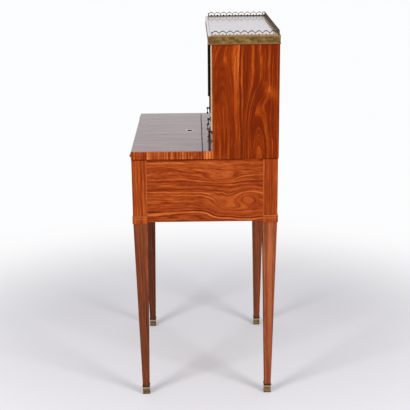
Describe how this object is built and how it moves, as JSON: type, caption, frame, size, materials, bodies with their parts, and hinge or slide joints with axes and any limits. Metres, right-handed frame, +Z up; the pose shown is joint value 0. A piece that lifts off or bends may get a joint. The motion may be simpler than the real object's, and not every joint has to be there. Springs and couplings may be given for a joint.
{
  "type": "bonheur du jour",
  "caption": "Small lady's writing desk: tapered legs, frieze drawer, fold-forward writing top and a low cabinet of doors and drawers under a galleried marble top.",
  "frame": {"origin": "on the floor, under the middle of the overall box", "axes": "+Z up; -Y towards the sitter; +X to the sitter's right as they face the desk"},
  "size_m": [0.568, 0.4168, 1.064],
  "materials": {
    "mahogany": "french polished veneer",
    "oak": "waxed",
    "brass": "aged",
    "lock_steel": "dull",
    "leather": "worn",
    "marble": "polished"
  },
  "bodies": {
    "case": {"leg_front_left": "mahogany", "leg_front_right": "mahogany", "leg_rear_left": "mahogany", "leg_rear_right": "mahogany", "leg_collars": "mahogany", "apron_left": "mahogany", "apron_right": "mahogany", "apron_back": "mahogany", "front_rail": "mahogany", "drawer_runners": "oak", "sabots": "brass", "bed_board": "mahogany", "rear_strip": "mahogany", "cabinet_side_left": "mahogany", "cabinet_side_right": "mahogany", "mid_board": "mahogany", "top_board": "mahogany", "bed_leather": "leather", "bed_hinge_leaves": "brass", "side_edgings": "brass", "brass_band": "brass", "gallery": "brass", "cabinet_back": "oak", "cabinet_floor": "oak", "drawer_dividers": "oak", "cabinet_shelf": "oak", "marble_top": "marble"},
    "flap": {"flap_board": "mahogany", "flap_leather": "leather", "flap_hinge_leaves": "brass", "flap_lock": "lock_steel", "flap_lock_plate": "brass"},
    "frieze_drawer": {"frieze_drawer_front": "mahogany", "frieze_drawer_lock": "brass", "frieze_drawer_side_left": "oak", "frieze_drawer_side_right": "oak", "frieze_drawer_bottom": "oak", "frieze_drawer_back": "oak", "frieze_drawer_pulls": "brass"},
    "frieze_drawer_ring_left": {"frieze_drawer_ring_left": "brass"},
    "frieze_drawer_ring_right": {"frieze_drawer_ring_right": "brass"},
    "door_left": {"door_left_frame": "mahogany", "door_left_panel": "mahogany", "door_left_brasses": "brass"},
    "door_right": {"door_right_frame": "mahogany", "door_right_panel": "mahogany", "door_right_brasses": "brass", "door_lock": "lock_steel"},
    "drawer_left": {"drawer_left_front": "mahogany", "drawer_left_tray": "oak", "drawer_left_pull": "brass"},
    "drawer_left_ring": {"drawer_left_ring": "brass"},
    "drawer_middle": {"drawer_middle_front": "mahogany", "drawer_middle_tray": "oak", "drawer_middle_pull": "brass"},
    "drawer_middle_ring": {"drawer_middle_ring": "brass"},
    "drawer_right": {"drawer_right_front": "mahogany", "drawer_right_tray": "oak", "drawer_right_pull": "brass"},
    "drawer_right_ring": {"drawer_right_ring": "brass"}
  },
  "joints": [
    {"name": "flap_hinge", "type": "hinge", "parent": "case", "child": "flap", "pos_m": [0, -0.1986, 0.72905], "axis": [1, 0, 0], "range_deg": [0, 180]},
    {"name": "frieze_drawer_slide", "type": "slide", "parent": "case", "child": "frieze_drawer", "axis": [0, -1, 0], "range_m": [0, 0.24]},
    {"name": "frieze_ring_left_swing", "type": "hinge", "parent": "frieze_drawer", "child": "frieze_drawer_ring_left", "pos_m": [-0.115, -0.2049, 0.64], "axis": [-1, 0, 0], "range_deg": [0, 95]},
    {"name": "frieze_ring_right_swing", "type": "hinge", "parent": "frieze_drawer", "child": "frieze_drawer_ring_right", "pos_m": [0.115, -0.2049, 0.64], "axis": [-1, 0, 0], "range_deg": [0, 95]},
    {"name": "door_left_pivot", "type": "hinge", "parent": "case", "child": "door_left", "pos_m": [-0.265, 0.0401, 0.912], "axis": [0, 0, -1], "range_deg": [0, 93]},
    {"name": "door_right_pivot", "type": "hinge", "parent": "case", "child": "door_right", "pos_m": [0.265, 0.0401, 0.912], "axis": [0, 0, 1], "range_deg": [0, 93]},
    {"name": "drawer_left_slide", "type": "slide", "parent": "case", "child": "drawer_left", "axis": [0, -1, 0], "range_m": [0, 0.12]},
    {"name": "drawer_left_ring_swing", "type": "hinge", "parent": "drawer_left", "child": "drawer_left_ring", "pos_m": [-0.18167, 0.0186, 0.774], "axis": [-1, 0, 0], "range_deg": [0, 95]},
    {"name": "drawer_middle_slide", "type": "slide", "parent": "case", "child": "drawer_middle", "axis": [0, -1, 0], "range_m": [0, 0.12]},
    {"name": "drawer_middle_ring_swing", "type": "hinge", "parent": "drawer_middle", "child": "drawer_middle_ring", "pos_m": [0, 0.0186, 0.774], "axis": [-1, 0, 0], "range_deg": [0, 95]},
    {"name": "drawer_right_slide", "type": "slide", "parent": "case", "child": "drawer_right", "axis": [0, -1, 0], "range_m": [0, 0.12]},
    {"name": "drawer_right_ring_swing", "type": "hinge", "parent": "drawer_right", "child": "drawer_right_ring", "pos_m": [0.18167, 0.0186, 0.774], "axis": [-1, 0, 0], "range_deg": [0, 95]}
  ]
}
